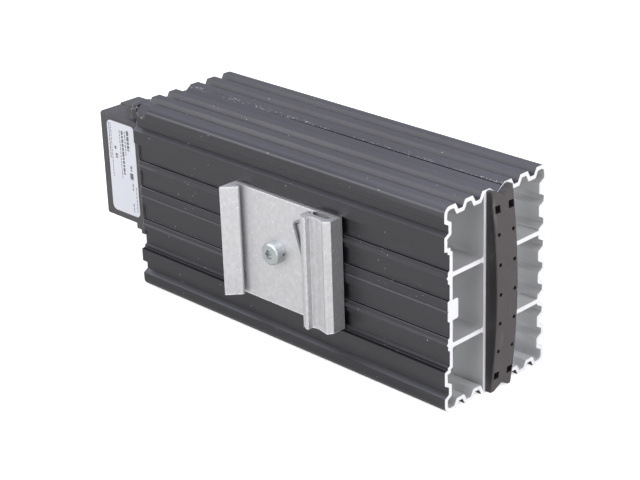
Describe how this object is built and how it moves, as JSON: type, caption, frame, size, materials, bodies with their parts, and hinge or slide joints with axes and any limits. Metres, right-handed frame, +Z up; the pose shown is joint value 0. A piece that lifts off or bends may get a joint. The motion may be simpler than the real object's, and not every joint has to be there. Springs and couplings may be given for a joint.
{
  "type": "enclosure heater",
  "caption": "Rail-mounted enclosure heater: ribbed black aluminium profile with open air cells, plastic end bar, connection casing and sprung rail clip.",
  "frame": {"origin": "middle of the whole part's box, at its base", "axes": "+X along the extrusion from the connection casing to the open end, -Y to the rail clip, +Z up"},
  "size_m": [0.167, 0.055, 0.068],
  "materials": {
    "black_anodised_aluminium": "black anodised extrusion, matt satin, bright where sawn",
    "black_plastic": "moulded, matt",
    "casing_plastic": "moulded, fine grain",
    "label_film": "satin film",
    "mill_aluminium": "mottled mill finish",
    "spring_steel": "drawn wire",
    "zinc_steel": "bright zinc plated",
    "frame_plastic": "heat-proof moulding",
    "contact_aluminium": "plain sheet",
    "white_ceramic": "matt sintered ceramic",
    "heating_ceramic": "matt sintered ceramic",
    "copper": "plain"
  },
  "bodies": {
    "root": {"heatsink_profile": "black_anodised_aluminium", "end_bar": "black_plastic", "connector_base": "casing_plastic", "connector_housing": "casing_plastic", "rating_label": "label_film", "din_clip": "mill_aluminium", "clip_spring": "spring_steel", "clip_screw": "zinc_steel", "clip_lock_washer": "zinc_steel", "stone_frame": "frame_plastic", "electrode_line": "contact_aluminium", "electrode_neutral": "contact_aluminium", "insulator_near": "white_ceramic", "insulator_far": "white_ceramic", "lead_line": "copper", "lead_neutral": "copper", "busbar_line": "copper", "busbar_neutral": "copper", "ptc_stone_1": "heating_ceramic", "ptc_stone_2": "heating_ceramic", "ptc_stone_3": "heating_ceramic", "ptc_stone_4": "heating_ceramic", "clamp_spring_1": "spring_steel", "clamp_spring_2": "spring_steel", "clamp_spring_3": "spring_steel", "clamp_spring_4": "spring_steel"}
  },
  "joints": []
}
